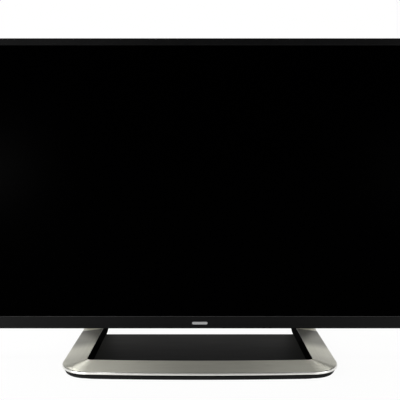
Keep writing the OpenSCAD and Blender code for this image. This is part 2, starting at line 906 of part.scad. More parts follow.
module source_boards() {
    color("#24603a") in_set()
        for (x = around(0, source_x))
            block(around(x, source_w / 2), [chassis_back, chassis_back + 1.2], source_z);
}

// Flat cables from the source boards up to the timing board
module panel_cables() {
    t = 0.4;
    z0 = source_z[1];
    z1 = tcon_z0 - 5;
    color("#cfd2d0") in_set()
        for (x = around(0, gate_x))
            translate([x - flat_cable_w / 2, 0, 0])
                rotate([90, 0, 90])
                    linear_extrude(flat_cable_w)
                        polygon([
                            [chassis_back, z0], [chassis_back + t, z0], [chassis_back + t, z1],
                            [board_top + t, z1], [board_top + t, tcon_z0 + 3], [board_top, tcon_z0 + 3],
                            [board_top, z1 + t], [chassis_back, z1 + t]
                        ]);
}

module signal_cable() {
    color("#d8d8d2") in_set()
        block([tcon_w / 2 - 5, board_x0 + 5], [board_top, board_top + 0.5], around(tcon_z0 + 43, 8));
}

module power_harness() {
    z = vesa_z + 40;
    color("#b9402f") in_set() {
        for (x = around(0, board_x0 + 9))
            block(around(x, 7), [board_top, board_top + 8], around(z, 9));
        for (k = [-1:1])
            rod_x([-board_x0 - 4, board_x0 + 4], board_top + 4, z + k * 4, 1.4);
    }
}

module wifi_module() {
    y = chassis_back + wifi_post_h;
    color("#2b5f46") in_set()
        difference() {
            union() {
                block(around(wifi_x, 20), [y, y + wifi_t], around(wifi_z, 11));
                block(around(wifi_x, 9), [y + wifi_t - 0.1, y + 3.4], around(wifi_z, 9));
            }
            for (p = wifi_posts)
                rod(p[0], p[1], [y - 1, y + 2], screw_hole_r);
        }
}

// A speaker's hollow box, open below where the driver sits
module speaker_box(side) {
    mid = side * speaker_x;
    z0 = wall + driver_flange;
    difference() {
        block(around(mid, speaker_w / 2), [speaker_y0, speaker_y1], [z0, speaker_z1]);
        block(around(mid, driver_w / 2 - 2), [speaker_y0 + 2, speaker_y1 - 2], [z0 - 1, speaker_z1 - 2]);
    }
}

module speaker_left() {
    color("#1d1d1f") in_set() speaker_box(-1);
}

module speaker_right() {
    color("#1d1d1f") in_set() speaker_box(1);
}

// A long narrow driver that faces down
module driver(side) {
    mid = side * speaker_x;
    r = driver_d / 2;
    x = around(mid, driver_w / 2 - r);
    z0 = wall;
    difference() {
        union() {
            block(x, around(speaker_mid, r), [z0, z0 + driver_flange]);
            for (end = x)
                translate([end, speaker_mid, z0]) cylinder(h = driver_flange, r = r);
            block(around(mid, 22), around(speaker_mid, 3.4), [z0 + driver_flange - 0.5, z0 + 15]);
        }
        block(x, around(speaker_mid, r - 1.8), [z0 - 1, z0 + 0.9]);
    }
}

module driver_left() {
    color("#2e2e30") in_set() driver(-1);
}

module driver_right() {
    color("#2e2e30") in_set() driver(1);
}

module sensor_board() {
    color("#1f4f31") in_set()
        block(around(0, lens_w / 2 + 18), [sensor_y, sensor_y + 1.2], [lens_z - 6, lens_z + 3]);
}

module status_lens() {
    color("#c9cbcc") in_set() {
        lens_shape(lens_w, lens_h, [-0.4, lip_t + 0.1]);
        lens_shape(lens_w + 4, lens_h + 2.4, [lip_t, lip_t + 1]);
        lens_shape(lens_w - 8, lens_h - 2, [lip_t + 0.9, sensor_y]);
    }
}

module key_board() {
    color("#1f5a34") in_set() {
        difference() {
            block(around(keys_x, key_board_w / 2), [key_board_y, key_board_back],
                [key_board_z0, key_board_z0 + key_board_h]);
            for (p = key_posts)
                rod(p[0], p[1], [key_board_y - 1, key_board_back + 1], screw_hole_r);
        }
        for (i = [0:key_count - 1])
            let (z = keys_z0 + i * key_pitch)
                block(around(keys_x, 3), [key_board_back - 0.1, key_board_back + switch_h], around(z, 3));
    }
}

// A key's cap, the flange that keeps it in the cover and the stem to its switch
module key(i) {
    z = keys_z0 + i * key_pitch;
    flange_y1 = edge_in - 0.1;
    flange_y0 = flange_y1 - key_flange;
    stem_y = key_board_back + switch_h + key_travel + 0.1;
    bevel = 0.5;
    color(i == 0 ? "#8e2a26" : "#2c2c2e") in_set() {
        translate([keys_x, flange_y0 + 0.2, z - key_h / 2])
            slab(key_w, key_h, edge_depth + key_proud - bevel - flange_y0 - 0.2, key_corner_r);
        translate([keys_x, edge_depth + key_proud, z - key_h / 2])
            mirror([0, 1, 0]) bevel_layer(key_w, key_h, bevel, key_corner_r);
        block(around(keys_x, key_w / 2 + key_flange_w), [flange_y0, flange_y1],
            around(z, key_h / 2 + key_flange_w));
        rod(keys_x, z, [stem_y, flange_y0 + 0.5], 1.8);
    }
}

// A small screw whose head lies on a face at y and whose shank points to the front
module small_screw(x, z, y, l) {
    difference() {
        union() {
            rod(x, z, [y, y + 1.6], 2.8);
            rod(x, z, [y - l, y + 0.1], screw_r);
        }
        cross_slot(x, z, y + 1.6);
    }
}

module board_screws() {
    color("#c2c4c4") in_set() {
        for (p = board_posts)
            small_screw(p[0], p[1], board_top, board_t + 5);
        for (p = wifi_posts)
            small_screw(p[0], p[1], chassis_back + wifi_post_h + wifi_t, wifi_post_h + 0.6);
        for (p = key_posts)
            translate([0, 2 * key_board_y, 0])
                mirror([0, 1, 0])
                    small_screw(p[0], p[1], key_board_y, key_board_t + 5);
    }
}

// Stand

module stand_trim() {
    color("#a9aaa6") in_stand() {
        both_sides() {
            along_bow(trim_section);
            along_corner(trim_section);
            along_y(trim_section, [corner_y, curl_y]);
            along_curl(trim_section);
            along_riser(trim_section, flange_y + flange_t + glue);
        }
    }
}

module base_screw_holes() {
    for (p = base_screws_at)
        translate([p[0], p[1], frame_z0 - 1]) cylinder(h = 6.2, r = 2.1);
}

module stand_frame() {
    color("#121213") in_stand()
        difference() {
            union() {
                both_sides() {
                    along_bow(core_section);
                    along_corner(core_section);
                    along_y(core_section, [corner_y, joint_y]);
                }
            }
            base_screw_holes();
        }
}

// One leg on the +X side: a straight foot, the curl, the riser and the flange on the cabinet's back
module leg() {
    flange_z = lift + bracket_z0;
    in_stand()
        difference() {
            union() {
                along_y(core_section, [joint_y, curl_y]);
                along_curl(core_section);
                along_riser(core_section, flange_y);
                block([leg_x0, leg_x1], [flange_y, flange_y + flange_t], [flange_z, flange_z + bracket_h]);
            }
            base_screw_holes();
            for (p = leg_screws_at)
                rod(p[0], lift + p[1], [flange_y - 1, flange_y + flange_t + 1], leg_screw_r + 0.2);
        }
}

module leg_left() {
    color("#121213") mirror([1, 0, 0]) leg();
}

module leg_right() {
    color("#121213") leg();
}

module base_plate() {
    gap = 0.2;
    inset = core_s1 + gap;
    color("#2f2f2e") in_stand()
        base_slab(base_w / 2 - inset, inset, corner_r - inset, plate_rear, [frame_z0, plate_z1]);
}

module base_foot() {
    color("#0e0e0f") in_stand()
        difference() {
            base_slab(foot_half, foot_front, foot_r, plate_rear, [foot_z0, frame_z0]);
            for (p = base_screws_at)
                translate([p[0], p[1], foot_z0 - 1]) {
                    cylinder(h = 3.6, r = 4.4);
                    cylinder(h = frame_z0, r = 2.3);
                }
            for (p = pads_at)
                translate([p[0], p[1], foot_z0 - 1]) cylinder(h = 1 + pad_depth, r = pad_r + 0.2);
            for (x = around(0, foot_hollow_x))
                block(around(x, foot_hollow_w / 2), foot_hollow_y, [foot_z0 - 1, frame_z0 - 2]);
        }
}

module rubber_feet() {
    color("#18181a") in_stand()
        for (p = pads_at)
            translate([p[0], p[1], 0]) cylinder(h = foot_z0 + pad_depth, r = pad_r);
}

module base_screws() {
    color("#3a3a3c") in_stand()
        for (p = base_screws_at)
            translate([p[0], p[1], 0])
                difference() {
                    union() {
                        translate([0, 0, foot_z0 + 0.4]) cylinder(h = 2.2, r = 4);
                        translate([0, 0, foot_z0 + 2.5]) cylinder(h = frame_z0 + 2.5 - foot_z0, r = 2);
                    }
                    translate([-2.4, -0.5, foot_z0]) cube([4.8, 1, 1.4]);
                    translate([-0.5, -2.4, foot_z0]) cube([1, 4.8, 1.4]);
                }
}

module stand_screws() {
    head_y = back_depth + flange_t;
    color("#4a4a4c") in_set()
        for (p = leg_screws_at, side = [-1, 1])
            difference() {
                union() {
                    rod(side * p[0], p[1], [head_y, head_y + 3], 4.4);
                    rod(side * p[0], p[1], [back_in - 6, head_y + 0.1], leg_screw_r);
                }
                cross_slot(side * p[0], p[1], head_y + 3);
            }
}

front_bezel();
rear_cover();
lcd_cell();
mid_frame();
optical_films();
light_guide();
reflector_sheet();
led_bar();
panel_chassis();
vesa_posts();
stand_bracket();
main_board();
main_chips();
main_heatsink();
hdmi_sockets();
usb_sockets();
lan_socket();
av_jacks();
antenna_socket();
power_board();
power_parts();
ac_inlet();
tcon_board();
source_boards();
panel_cables();
signal_cable();
power_harness();
wifi_module();
speaker_left();
speaker_right();
driver_left();
driver_right();
sensor_board();
status_lens();
key_board();
board_screws();
cover_screws();
key(0);  // key_power
key(1);  // key_input
key(2);  // key_menu
key(3);  // key_ok
key(4);  // key_volume_up
key(5);  // key_volume_down
key(6);  // key_channel_up
key(7);  // key_channel_down
stand_trim();
stand_frame();
leg_left();
leg_right();
base_plate();
base_foot();
rubber_feet();
base_screws();
stand_screws();
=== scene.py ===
"""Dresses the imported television: its finishes, the fine fittings of its back, and the studio."""

import json
import math

import bmesh
import bpy
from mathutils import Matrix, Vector


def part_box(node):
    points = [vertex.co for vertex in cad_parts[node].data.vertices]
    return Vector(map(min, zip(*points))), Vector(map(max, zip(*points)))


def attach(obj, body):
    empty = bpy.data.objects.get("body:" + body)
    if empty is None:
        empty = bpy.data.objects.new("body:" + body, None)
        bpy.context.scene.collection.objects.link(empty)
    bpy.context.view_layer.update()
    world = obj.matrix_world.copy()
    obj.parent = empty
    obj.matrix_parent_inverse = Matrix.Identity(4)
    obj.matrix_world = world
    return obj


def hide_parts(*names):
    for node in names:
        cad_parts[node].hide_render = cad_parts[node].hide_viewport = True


MM = 0.001
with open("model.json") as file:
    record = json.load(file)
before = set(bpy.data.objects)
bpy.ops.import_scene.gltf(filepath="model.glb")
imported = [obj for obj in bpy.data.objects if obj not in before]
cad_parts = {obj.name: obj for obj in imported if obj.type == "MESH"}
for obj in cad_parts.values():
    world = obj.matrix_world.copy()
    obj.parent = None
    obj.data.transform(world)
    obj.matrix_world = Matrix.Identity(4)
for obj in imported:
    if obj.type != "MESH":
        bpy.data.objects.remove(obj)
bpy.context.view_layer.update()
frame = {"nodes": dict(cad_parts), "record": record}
nodes = frame["nodes"]

# Most of the pieces ride on the set itself, and only the keys move
BODY = "television"

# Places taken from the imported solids
bezel_low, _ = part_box("front_bezel")
trim_low, trim_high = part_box("stand_trim")
plate_low, plate_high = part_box("base_plate")
cover_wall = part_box("hdmi_sockets")[1].x

# Slack for points that lie at the same place, and the distance within which they are joined
SLACK = 0.1 * MM
WELD = 0.001 * MM

# The upward part of a face's normal: more than this where it lies level, less where it stands
LEVEL_FACE = 0.9
UPRIGHT_FACE = 0.1

# Height of the bezel's edge below the screen, and the painted highlight along it
SCREEN_EDGE_Z = bezel_low.z + 23.5 * MM
EDGE_HIGHLIGHT_CORE = 0.3 * MM
EDGE_HIGHLIGHT_REACH = 0.6 * MM

# Shape of the ribbon trim, for finishes that follow it round the base
TRIM_CORNER_R = 54.5 * MM
TRIM_CORNER_X = trim_high.x - TRIM_CORNER_R
TRIM_CORNER_Y = trim_low.y + 59.6 * MM
TRIM_WIDTH = 45 * MM
TRIM_ARM_X = trim_high.x - TRIM_WIDTH / 2
TRIM_LIP = 1.6 * MM

# The ribbon's rim is shallower in front, as far back as the corners reach
TRIM_RIM_LIFT = 1.0 * MM
TRIM_RIM_LIFT_END_Y = TRIM_CORNER_Y + 1.0 * MM

# Radius of the bow in front, and a distance from which lines run straight
BOW_R = 4.0
FAR = 10.0

# How far the top of the foot's wall stands in under the ribbon's outline
FOOT_INSET_FRONT = 3.9 * MM
FOOT_INSET_SIDE = 2.0 * MM
FOOT_WALL_REACH = 10 * MM
FOOT_BOTTOM_SHARE_SIDE = 0.4

# How far the rear edge of the panel and the foot is carried back
PANEL_REACH = 5.0 * MM

# Where the dark panel starts to grow paler towards its rear edge, a painted reflection of the bright room
# under the set
PANEL_REFLECTION_START_Y = plate_low.y + 20 * MM

# The ribbon's metal is darkened towards the legs by painted shade, which stands in for the shade under
# the set and the reflection of the dark riser, and is pale again where it curls up
SHADE_START = -32 * MM
SHADE_END = 16 * MM
SHADE_SHARE = 0.6
SLANT = 1.3
SLANT_START = 22 * MM
SLANT_END = 86 * MM
CURL_START = 91 * MM
CURL_END = 100 * MM

# Edges that catch light, and the angles at which an edge is rounded or stays crisp
TRIM_ROUNDING = 0.35 * MM
FOOT_ROUNDING = 0.6 * MM
PANEL_ROUNDING = 0.4 * MM
NODE_ROUNDING = {
    "front_bezel": 0.5 * MM,
    "rear_cover": 0.5 * MM,
    "stand_frame": 0.5 * MM,
    "leg_left": 0.6 * MM,
    "leg_right": 0.6 * MM,
}
ROUNDED_ANGLE = math.radians(30)
SMOOTH_ANGLE = math.radians(28)

# The camera that took the photograph, in pixels of its 400 pixel frame and in millimetres
PHOTO_PX = 400
SENSOR_MM = 36
FOCAL_PX = 596.3
PRINCIPAL_UP_PX = 45
CENTRE_RIGHT_PX = -0.2
CAMERA_DISTANCE = 1156.9 * MM
CAMERA_HEIGHT = 413.4 * MM
CAMERA_PITCH = math.radians(0.669)


# Shader graphs

# The range that most of a noise texture's values lie in
NOISE_LOW, NOISE_HIGH = 0.3, 0.7


class Value:
    """A socket of a shader graph. Arithmetic on it adds Math nodes to its graph."""

    def __init__(self, graph, socket):
        self.graph = graph
        self.socket = socket

    def calc(self, operation, *terms):
        return self.graph.node("ShaderNodeMath", {"operation": operation}, dict(enumerate(terms)))

    def __add__(self, other):
        return self.calc("ADD", self, other)

    def __sub__(self, other):
        return self.calc("SUBTRACT", self, other)

    def __rsub__(self, other):
        return self.calc("SUBTRACT", other, self)

    def __mul__(self, other):
        return self.calc("MULTIPLY", self, other)

    __radd__ = __add__
    __rmul__ = __mul__

    def __abs__(self):
        return self.calc("ABSOLUTE", self)

    def at_least(self, other):
        return self.calc("MAXIMUM", self, other)

    def at_most(self, other):
        return self.calc("MINIMUM", self, other)

    def ramp(self, low, high, to_low=0.0, to_high=1.0):
        """Eases from one level to another while the value goes from low to high."""
        settings = {"interpolation_type": "SMOOTHSTEP"}
        inputs = {"Value": self, "From Min": low, "From Max": high, "To Min": to_low, "To Max": to_high}
        return self.graph.node("ShaderNodeMapRange", settings, inputs)

    def spread(self, to_low, to_high):
        """Spreads a noise between two levels."""
        return self.ramp(NOISE_LOW, NOISE_HIGH, to_low, to_high)


class Graph:
    """A material's or the world's node tree."""

    def __init__(self, tree):
        self.tree = tree
        tree.nodes.clear()

    def node(self, kind, settings=None, inputs=None, out=0):
        """Adds one node, sets it up, fills its sockets and returns one of its outputs."""
        made = self.tree.nodes.new(kind)
        for name, value in (settings or {}).items():
            setattr(made, name, value)
        for name, value in (inputs or {}).items():
            socket = made.inputs[name]
            if isinstance(value, Value):
                self.tree.links.new(value.socket, socket)
            else:
                socket.default_value = value
        return Value(self, made.outputs[out]) if made.outputs else None

    def spot(self):
        """Object space position."""
        return self.node("ShaderNodeTexCoord", out="Object")

    def parts(self, vector):
        """The three numbers of a vector."""
        return [self.node("ShaderNodeSeparateXYZ", None, {0: vector}, axis) for axis in "XYZ"]

    def vector(self, x, y, z):
        return self.node("ShaderNodeCombineXYZ", None, {0: x, 1: y, 2: z})

    def length(self, vector):
        return self.node("ShaderNodeVectorMath", {"operation": "LENGTH"}, {0: vector}, "Value")

    def ray(self, kind):
        """One where the shader is met by a ray of this kind."""
        return self.node("ShaderNodeLightPath", out=f"Is {kind} Ray")

    def noise(self, vector, scale, detail=2.0, roughness=0.5):
        inputs = {"Vector": vector, "Scale": scale, "Detail": detail, "Roughness": roughness}
        return self.node("ShaderNodeTexNoise", None, inputs)

    def cells(self, vector, scale, **settings):
        return self.node("ShaderNodeTexVoronoi", settings, {"Vector": vector, "Scale": scale})

    def blend(self, factor, low, high):
        """Mixes two colours. The node's colour sockets go by number, because its names repeat."""
        return self.node("ShaderNodeMix", {"data_type": "RGBA"}, {0: factor, 6: low, 7: high}, 2)

    def bump(self, height, strength, distance):
        inputs = {"Strength": strength, "Distance": distance, "Height": height}
        return self.node("ShaderNodeBump", None, inputs)


def make_finish(name, build):
    """Makes a material, and lets build fill in a Principled shader's sockets."""
    material = bpy.data.materials.new(name)
    material.use_nodes = True
    graph = Graph(material.node_tree)
    shader = graph.node("ShaderNodeBsdfPrincipled", None, build(graph))
    graph.node("ShaderNodeOutputMaterial", None, {"Surface": shader})
    return material


PLAIN = (1.0, 1.0, 1.0)


def grey(level, tint=PLAIN):
    return (level * tint[0], level * tint[1], level * tint[2], 1.0)


# Finishes of the ribbon stand


def along_ribbon(graph, x, y, bright, painted_shade, curled):
    """Colour of the ribbon's metal from its front, along its arms, to its curled legs, with painted shade
    on the rear of the arms.
    """
    outward = (abs(x) - TRIM_ARM_X).at_least(-TRIM_WIDTH / 2)
    # Painted shade under the set, from the front of the set back along the arms
    painted_shade_under_set = y.ramp(SHADE_START, SHADE_END, 0.0, SHADE_SHARE)
    # Painted reflection of the dark riser: a slanted dark wedge that reaches further forward on the inner
    # side of each arm
    painted_riser_reflection = (y - outward * SLANT).ramp(SLANT_START, SLANT_END, 0.0, 1.0 - SHADE_SHARE)
    rear = graph.blend(y.ramp(CURL_START, CURL_END), painted_shade, curled)
    return graph.blend(painted_shade_under_set + painted_riser_reflection, bright, rear)


def brushed_metal(graph):
    """Fine lines that run along the ribbon, round its corners and up its legs."""
    spot = graph.spot()
    x, y, z = graph.parts(spot)
    past_side = (abs(x) - TRIM_CORNER_X).at_least(0)
    past_front = (TRIM_CORNER_Y - y).at_least(0)
    inward = TRIM_CORNER_R - graph.length(graph.vector(past_side, past_front, 0.0))
    along = x + y + z
    lines = graph.noise(graph.vector(inward * 2600, along * 14, 0.0), 1.0, 3.0, 0.6)
    long_lines = graph.noise(graph.vector(inward * 700, along * 3, 4.0), 1.0)
    smudge = graph.noise(spot, 9.0, 3.0)
    tone = (lines * 0.5 + long_lines * 0.3 + smudge * 0.2).spread(0.0, 1.0)
    bright = graph.blend(tone, (0.65, 0.64, 0.563, 1), (0.775, 0.765, 0.678, 1))
    # Painted shade: a dark copy of the brushed metal for the rear of the arms
    painted_shade = graph.blend(tone, (0.045, 0.044, 0.040, 1), (0.078, 0.0765, 0.071, 1))
    curled = graph.blend(tone, (0.52, 0.51, 0.46, 1), (0.64, 0.63, 0.57, 1))
    return {
        "Base Color": along_ribbon(graph, x, y, bright, painted_shade, curled),
        "Metallic": 1.0,
        "Roughness": lines.ramp(0.25, 0.75, 0.46, 0.56),
        "Anisotropic": 0.87,
        "Anisotropic Rotation": 0.25,
        "Normal": graph.bump(lines * 0.6 + long_lines * 0.4, 0.15, 0.1 * MM),
    }


def polished_lip(graph):
    """The rim of the ribbon, ground and polished after brushing."""
    x, y, z = graph.parts(graph.spot())
    lines = graph.noise(graph.vector(x * 40, y * 40, z * 4000), 1.0)
    bright = graph.blend(lines, (0.70, 0.695, 0.66, 1), (0.78, 0.775, 0.74, 1))
    # Painted shade: a dark copy of the polished rim for the rear of the arms
    painted_shade = (0.14, 0.138, 0.13, 1)
    return {
        "Base Color": along_ribbon(graph, x, y, bright, painted_shade, bright),
        "Metallic": 1.0,
        "Roughness": lines.spread(0.28, 0.36),
        "Normal": graph.bump(lines, 0.04, 0.05 * MM),
    }


def frame_black(graph):
    """The black frame under the ribbon: matt paint with a trace of orange peel."""
    spot = graph.spot()
    cloud = graph.noise(spot, 20.0, 3.0)
    return {
        "Base Color": graph.blend(cloud, grey(0.0010), grey(0.0018)),
        "Roughness": cloud.spread(0.22, 0.30),
        "Specular IOR Level": 0.0,
        "Normal": graph.bump(graph.noise(spot, 260.0), 0.04, 0.2 * MM),
    }


def leg_black(graph):
    """Painted steel strip, satin on its broad faces and matt on its cut sides."""
    spot = graph.spot()
    cloud = graph.noise(spot, 30.0, 3.0)
    sideways, _, _ = graph.parts(graph.node("ShaderNodeNewGeometry", out="Normal"))
    return {
        "Base Color": graph.blend(cloud, grey(0.0022), grey(0.0040)),
        "Roughness": cloud.spread(0.5, 0.6),
        "Specular IOR Level": 0.0,
        "Coat Weight": abs(sideways).ramp(0.3, 0.6, 0.8, 0.0),
        "Coat Roughness": 0.3,
        "Normal": graph.bump(graph.noise(spot, 420.0), 0.06, 0.2 * MM),
    }


def smoked_plate(graph):
    """The dark panel between the arms of the base, paler towards its rear edge by a painted reflection.
    """
    spot = graph.spot()
    x, y, _ = graph.parts(spot)
    cloud = graph.noise(spot, 6.0, 3.0)
    hairline = graph.noise(graph.vector(x * 10, y * 900, 0.0), 1.0)
    deep = graph.blend(cloud, (0.0004, 0.0004, 0.0004, 1), (0.0008, 0.0008, 0.0007, 1))
    # Painted reflection: a paler copy of the panel for its rear edge
    pale = graph.blend(cloud, (0.0114, 0.0114, 0.0107, 1), (0.0140, 0.0140, 0.0132, 1))
    return {
        "Base Color": graph.blend(y.ramp(PANEL_REFLECTION_START_Y, plate_high.y), deep, pale),
        "Roughness": hairline.spread(0.48, 0.58),
        "Specular IOR Level": 0.026,
        "Normal": graph.bump(hairline, 0.03, 0.1 * MM),
    }


def pad_rubber(graph):
    """The grained pads under the foot."""
    grain = graph.noise(graph.spot(), 1500.0, 3.0)
    return {
        "Base Color": graph.blend(grain, grey(0.010), grey(0.018)),
        "Roughness": grain.spread(0.75, 0.9),
        "Normal": graph.bump(grain, 0.3, 0.2 * MM),
    }


# Finishes of the cabinet


def satin_black(graph):
    """The bezel: smooth dark plastic, faintly textured, with a painted highlight along its edge below the
    screen.
    """
    spot = graph.spot()
    _, _, z = graph.parts(spot)
    cloud = graph.noise(spot, 14.0, 3.0)
    # Painted highlight: a pale line in the colour along the bezel's edge below the screen
    edge = abs(z - SCREEN_EDGE_Z).ramp(EDGE_HIGHLIGHT_CORE, EDGE_HIGHLIGHT_REACH, 1.0, 0.0)
    black = graph.blend(cloud, (0.0012, 0.0012, 0.0013, 1), (0.0020, 0.0020, 0.0021, 1))
    return {
        "Base Color": graph.blend(edge, black, grey(0.042)),
        "Roughness": cloud.spread(0.40, 0.46),
        "Specular IOR Level": 0.1,
        "Normal": graph.bump(graph.noise(spot, 2400.0), 0.08, 0.1 * MM),
    }


def grained_black(graph):
    """The rear cover: matt plastic with a leather-like spark grain."""
    spot = graph.spot()
    cells = graph.cells(spot, 900.0, feature="DISTANCE_TO_EDGE")
    cloud = graph.noise(spot, 7.0, 4.0)
    height = cells.ramp(0.0, 0.25) * 0.7 + graph.noise(spot, 3000.0) * 0.3
    return {
        "Base Color": graph.blend(cloud, (0.0110, 0.0110, 0.0116, 1), (0.0165, 0.0165, 0.0172, 1)),
        "Roughness": cells.ramp(0.0, 0.3, 0.62, 0.5),
        "Specular IOR Level": 0.4,
        "Normal": graph.bump(height, 0.35, 0.15 * MM),
    }


def screen_off(graph):
    """The unlit screen: deep black behind an anti-glare film."""
    spot = graph.spot()
    haze = graph.noise(spot, 1600.0)
    cloud = graph.noise(spot, 3.0)
    return {
        "Base Color": graph.blend(cloud, (0.00008, 0.00008, 0.0001, 1), (0.00014, 0.00014, 0.00018, 1)),
        "Roughness": haze.spread(0.20, 0.26),
        "Specular IOR Level": 0.002,
        "Normal": graph.bump(haze, 0.02, 0.05 * MM),
    }


def status_silver(graph):
    """The plain bar under the screen: silvered plastic with a fine line along it."""
    x, y, z = graph.parts(graph.spot())
    lines = graph.noise(graph.vector(x * 30, y * 10, z * 3500), 1.0)
    return {
        "Base Color": graph.blend(lines, (0.33, 0.33, 0.33, 1), (0.45, 0.45, 0.46, 1)),
        "Metallic": 0.85,
        "Roughness": lines.spread(0.3, 0.42),
        "Normal": graph.bump(lines, 0.05, 0.05 * MM),
    }


# Finishes that several pieces share, each in its own colour


def plain_plastic(level, tint=PLAIN, rough=0.5, shine=0.5):
    """A moulded plastic of one colour, with a faint grain."""

    def build(graph):
        spot = graph.spot()
        cloud = graph.noise(spot, 25.0)
        return {
            "Base Color": graph.blend(cloud, grey(level * 0.88, tint), grey(level * 1.08, tint)),
            "Roughness": cloud.spread(rough - 0.06, rough + 0.06),
            "Specular IOR Level": shine,
            "Normal": graph.bump(graph.noise(spot, 1800.0), 0.12, 0.1 * MM),
        }

    return build


def plated_metal(level, tint=PLAIN, rough=0.3):
    """A plated or blackened metal with fine drawn lines."""

    def build(graph):
        spot = graph.spot()
        x, y, z = graph.parts(spot)
        lines = graph.noise(graph.vector(x * 400, y * 60, z * 3000), 1.0)
        cloud = graph.noise(spot, 60.0, 3.0)
        return {
            "Base Color": graph.blend(cloud, grey(level * 0.86, tint), grey(level * 1.08, tint)),
            "Metallic": 1.0,
            "Roughness": lines.ramp(0.25, 0.75, rough - 0.07, rough + 0.09),
            "Normal": graph.bump(lines, 0.08, 0.08 * MM),
        }

    return build


def circuit_board(tint):
    """Solder mask with a faint pattern of tracks under it."""

    def build(graph):
        x, y, z = graph.parts(graph.spot())
        tracks = graph.cells(graph.vector(x, y * 0.2, z), 210.0, feature="F1", distance="CHEBYCHEV")
        return {
            "Base Color": graph.blend(tracks.ramp(0.25, 0.5), grey(0.6, tint), grey(1.3, tint)),
            "Roughness": tracks.ramp(0.2, 0.6, 0.35, 0.5),
            "Normal": graph.bump(tracks, 0.1, 0.1 * MM),
        }

    return build


def clear_sheet(level, rough):
    """Film, light guide and flat cable."""

    def build(graph):
        dots = graph.cells(graph.spot(), 350.0)
        return {
            "Base Color": graph.blend(dots.ramp(0.1, 0.5), grey(level), grey(level * 0.9)),
            "Roughness": dots.ramp(0.1, 0.6, rough, rough + 0.15),
            "Normal": graph.bump(dots, 0.05, 0.1 * MM),
        }

    return build


FINISH_BUILDS = {
    "brushed_metal": brushed_metal,
    "polished_lip": polished_lip,
    "satin_black": satin_black,
    "grained_black": grained_black,
    "screen_off": screen_off,
    "frame_black": frame_black,
    "smoked_plate": smoked_plate,
    "pad_rubber": pad_rubber,
    "status_silver": status_silver,
    "key_black": plain_plastic(0.016, rough=0.42),
    "key_red": plain_plastic(0.17, (1.0, 0.1, 0.08), 0.42),
    "inner_plastic": plain_plastic(0.03),
    "foot_black": plain_plastic(0.011, rough=0.6, shine=0.05),
    "leg_black": leg_black,
    "white_ink": plain_plastic(0.55, rough=0.6),
    "jack_yellow": plain_plastic(0.62, (1.0, 0.72, 0.06), 0.4),
    "jack_white": plain_plastic(0.72, (1.0, 0.99, 0.96), 0.4),
    "jack_red": plain_plastic(0.4, (1.0, 0.06, 0.05), 0.4),
    "cable_red": plain_plastic(0.4, (1.0, 0.12, 0.08), 0.5),
    "tray_steel": plated_metal(0.52, rough=0.38),
    "socket_metal": plated_metal(0.6, (0.97, 0.99, 1.0), 0.26),
    "contact_gold": plated_metal(0.75, (1.0, 0.72, 0.32), 0.24),
    "jack_brass": plated_metal(0.62, (1.0, 0.86, 0.55), 0.28),
    "screw_black": plated_metal(0.06, rough=0.42),
    "screw_steel": plated_metal(0.62, rough=0.3),
    "heatsink_metal": plated_metal(0.35, rough=0.45),
    "board_green": circuit_board((0.02, 0.16, 0.06)),
    "board_brown": circuit_board((0.22, 0.14, 0.04)),
    "film": clear_sheet(0.8, 0.35),
    "acrylic": clear_sheet(0.86, 0.08),
}
FINISHES = {name: make_finish(name, build) for name, build in FINISH_BUILDS.items()}

# The record's material slots whose finish has another name, and the nodes that differ from their slot
SLOT_FINISH = {
    "bezel_black": "satin_black",
    "cover_black": "grained_black",
    "screen_glass": "screen_off",
    "frame_plastic": "inner_plastic",
    "circuit_board": "board_green",
    "cable": "cable_red",
    "lens": "status_silver",
    "trim_metal": "brushed_metal",
    "stand_black": "frame_black",
    "plate_gloss": "smoked_plate",
}
NODE_FINISH = {
    "power_board": "board_brown",
    "leg_left": "leg_black",
    "leg_right": "leg_black",
}


# Pieces


def paint(piece, finish_name):
    piece.data.materials.clear()
    piece.data.materials.append(FINISHES[finish_name])


def paint_nodes():
    for entry in frame["record"]["subparts"]:
        name, slot = entry["node"], entry["material_slot"]
        paint(nodes[name], NODE_FINISH.get(name, SLOT_FINISH.get(slot, slot)))


def round_edges(piece, width):
    bevel = piece.modifiers.new("rounded_edges", "BEVEL")
    bevel.width = width
    bevel.segments = 2
    bevel.limit_method = "ANGLE"
    bevel.angle_limit = ROUNDED_ANGLE
    bevel.harden_normals = True
    return bevel


def round_nodes():
    for name, width in NODE_ROUNDING.items():
        round_edges(nodes[name], width)


def link(made):
    bpy.context.scene.collection.objects.link(made)
    return made


def to_mesh(name, made):
    mesh = bpy.data.meshes.new(name)
    made.to_mesh(mesh)
    made.free()
    return mesh


def add_piece(name, mesh, finish_name, body):
    piece = link(bpy.data.objects.new(name, mesh))
    paint(piece, finish_name)
    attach(piece, body)
    return piece


def make_piece(name, finish_name, build, body=BODY):
    """A new piece whose mesh is filled in by build, with smooth sides and crisp edges."""
    made = bmesh.new()
    build(made)
    bmesh.ops.recalc_face_normals(made, faces=made.faces)
    mesh = to_mesh(name, made)
    mesh.shade_smooth()
    mesh.set_sharp_from_angle(angle=SMOOTH_ANGLE)
    return add_piece(name, mesh, finish_name, body)


def copy_node(made, node):
    """Fills a mesh with a node's shape, joined along its edges."""
    made.from_mesh(nodes[node].data)
    bmesh.ops.remove_doubles(made, verts=made.verts, dist=WELD)


def past_corner(point):
    """How far a point lies outward, in plan, from the centre of the ribbon's nearest corner."""
    side = max(abs(point.x) - TRIM_CORNER_X, 0)
    return Vector((math.copysign(side, point.x), min(point.y - TRIM_CORNER_Y, 0)))


def middle_of(low, high):
    return (low + high) / 2


def left_of(way):
    """A way in a plane, turned by a quarter to the left."""
    return Vector((-way.y, way.x))


# The ribbon trim, in lengths that each have their own direction of brushing


